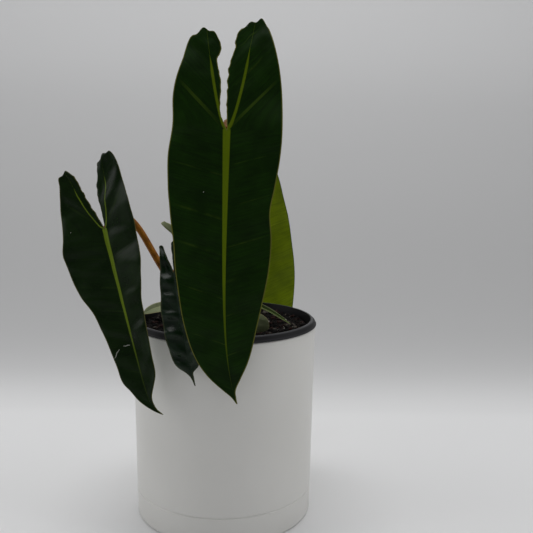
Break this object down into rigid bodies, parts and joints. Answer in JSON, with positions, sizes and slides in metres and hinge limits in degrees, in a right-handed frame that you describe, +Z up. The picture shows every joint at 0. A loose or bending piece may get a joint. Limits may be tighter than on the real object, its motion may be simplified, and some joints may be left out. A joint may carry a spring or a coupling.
{
  "type": "potted philodendron",
  "caption": "Philodendron with long hanging arrow-shaped leaves on orange-brown stalks, in a black nursery pot set inside a plain white cover pot.",
  "frame": {"origin": "centre of the cover pot's flat underside", "axes": "+Z up; -Y is the front, where the largest leaf hangs; +X to the right seen from the front"},
  "size_m": [0.2033, 0.2122, 0.3888],
  "materials": {
    "white_plastic": "satin moulded white",
    "black_plastic": "moulded black",
    "potting_mix": "damp, loose, rough",
    "stem_skin": "green-brown with ring scars",
    "stalk_skin": "smooth, orange-brown",
    "dark_leaf": "waxy, satin, with a pale midrib",
    "bright_leaf": "waxy, lit through, yellow-green",
    "pale_leaf": "dull, grey-green"
  },
  "bodies": {
    "root": {"cover_pot": "white_plastic", "nursery_pot": "black_plastic", "potting_mix": "potting_mix", "stem": "stem_skin", "front_blade": "dark_leaf", "front_stalk": "stalk_skin", "left_blade": "dark_leaf", "left_stalk": "stalk_skin", "dark_blade": "dark_leaf", "dark_stalk": "stalk_skin", "back_blade": "bright_leaf", "back_stalk": "stalk_skin", "middle_blade": "pale_leaf", "middle_stalk": "stalk_skin", "low_left_blade": "pale_leaf", "low_left_stalk": "stalk_skin", "low_front_blade": "pale_leaf", "low_front_stalk": "stalk_skin", "low_right_blade": "pale_leaf", "low_right_stalk": "stalk_skin"}
  },
  "joints": []
}
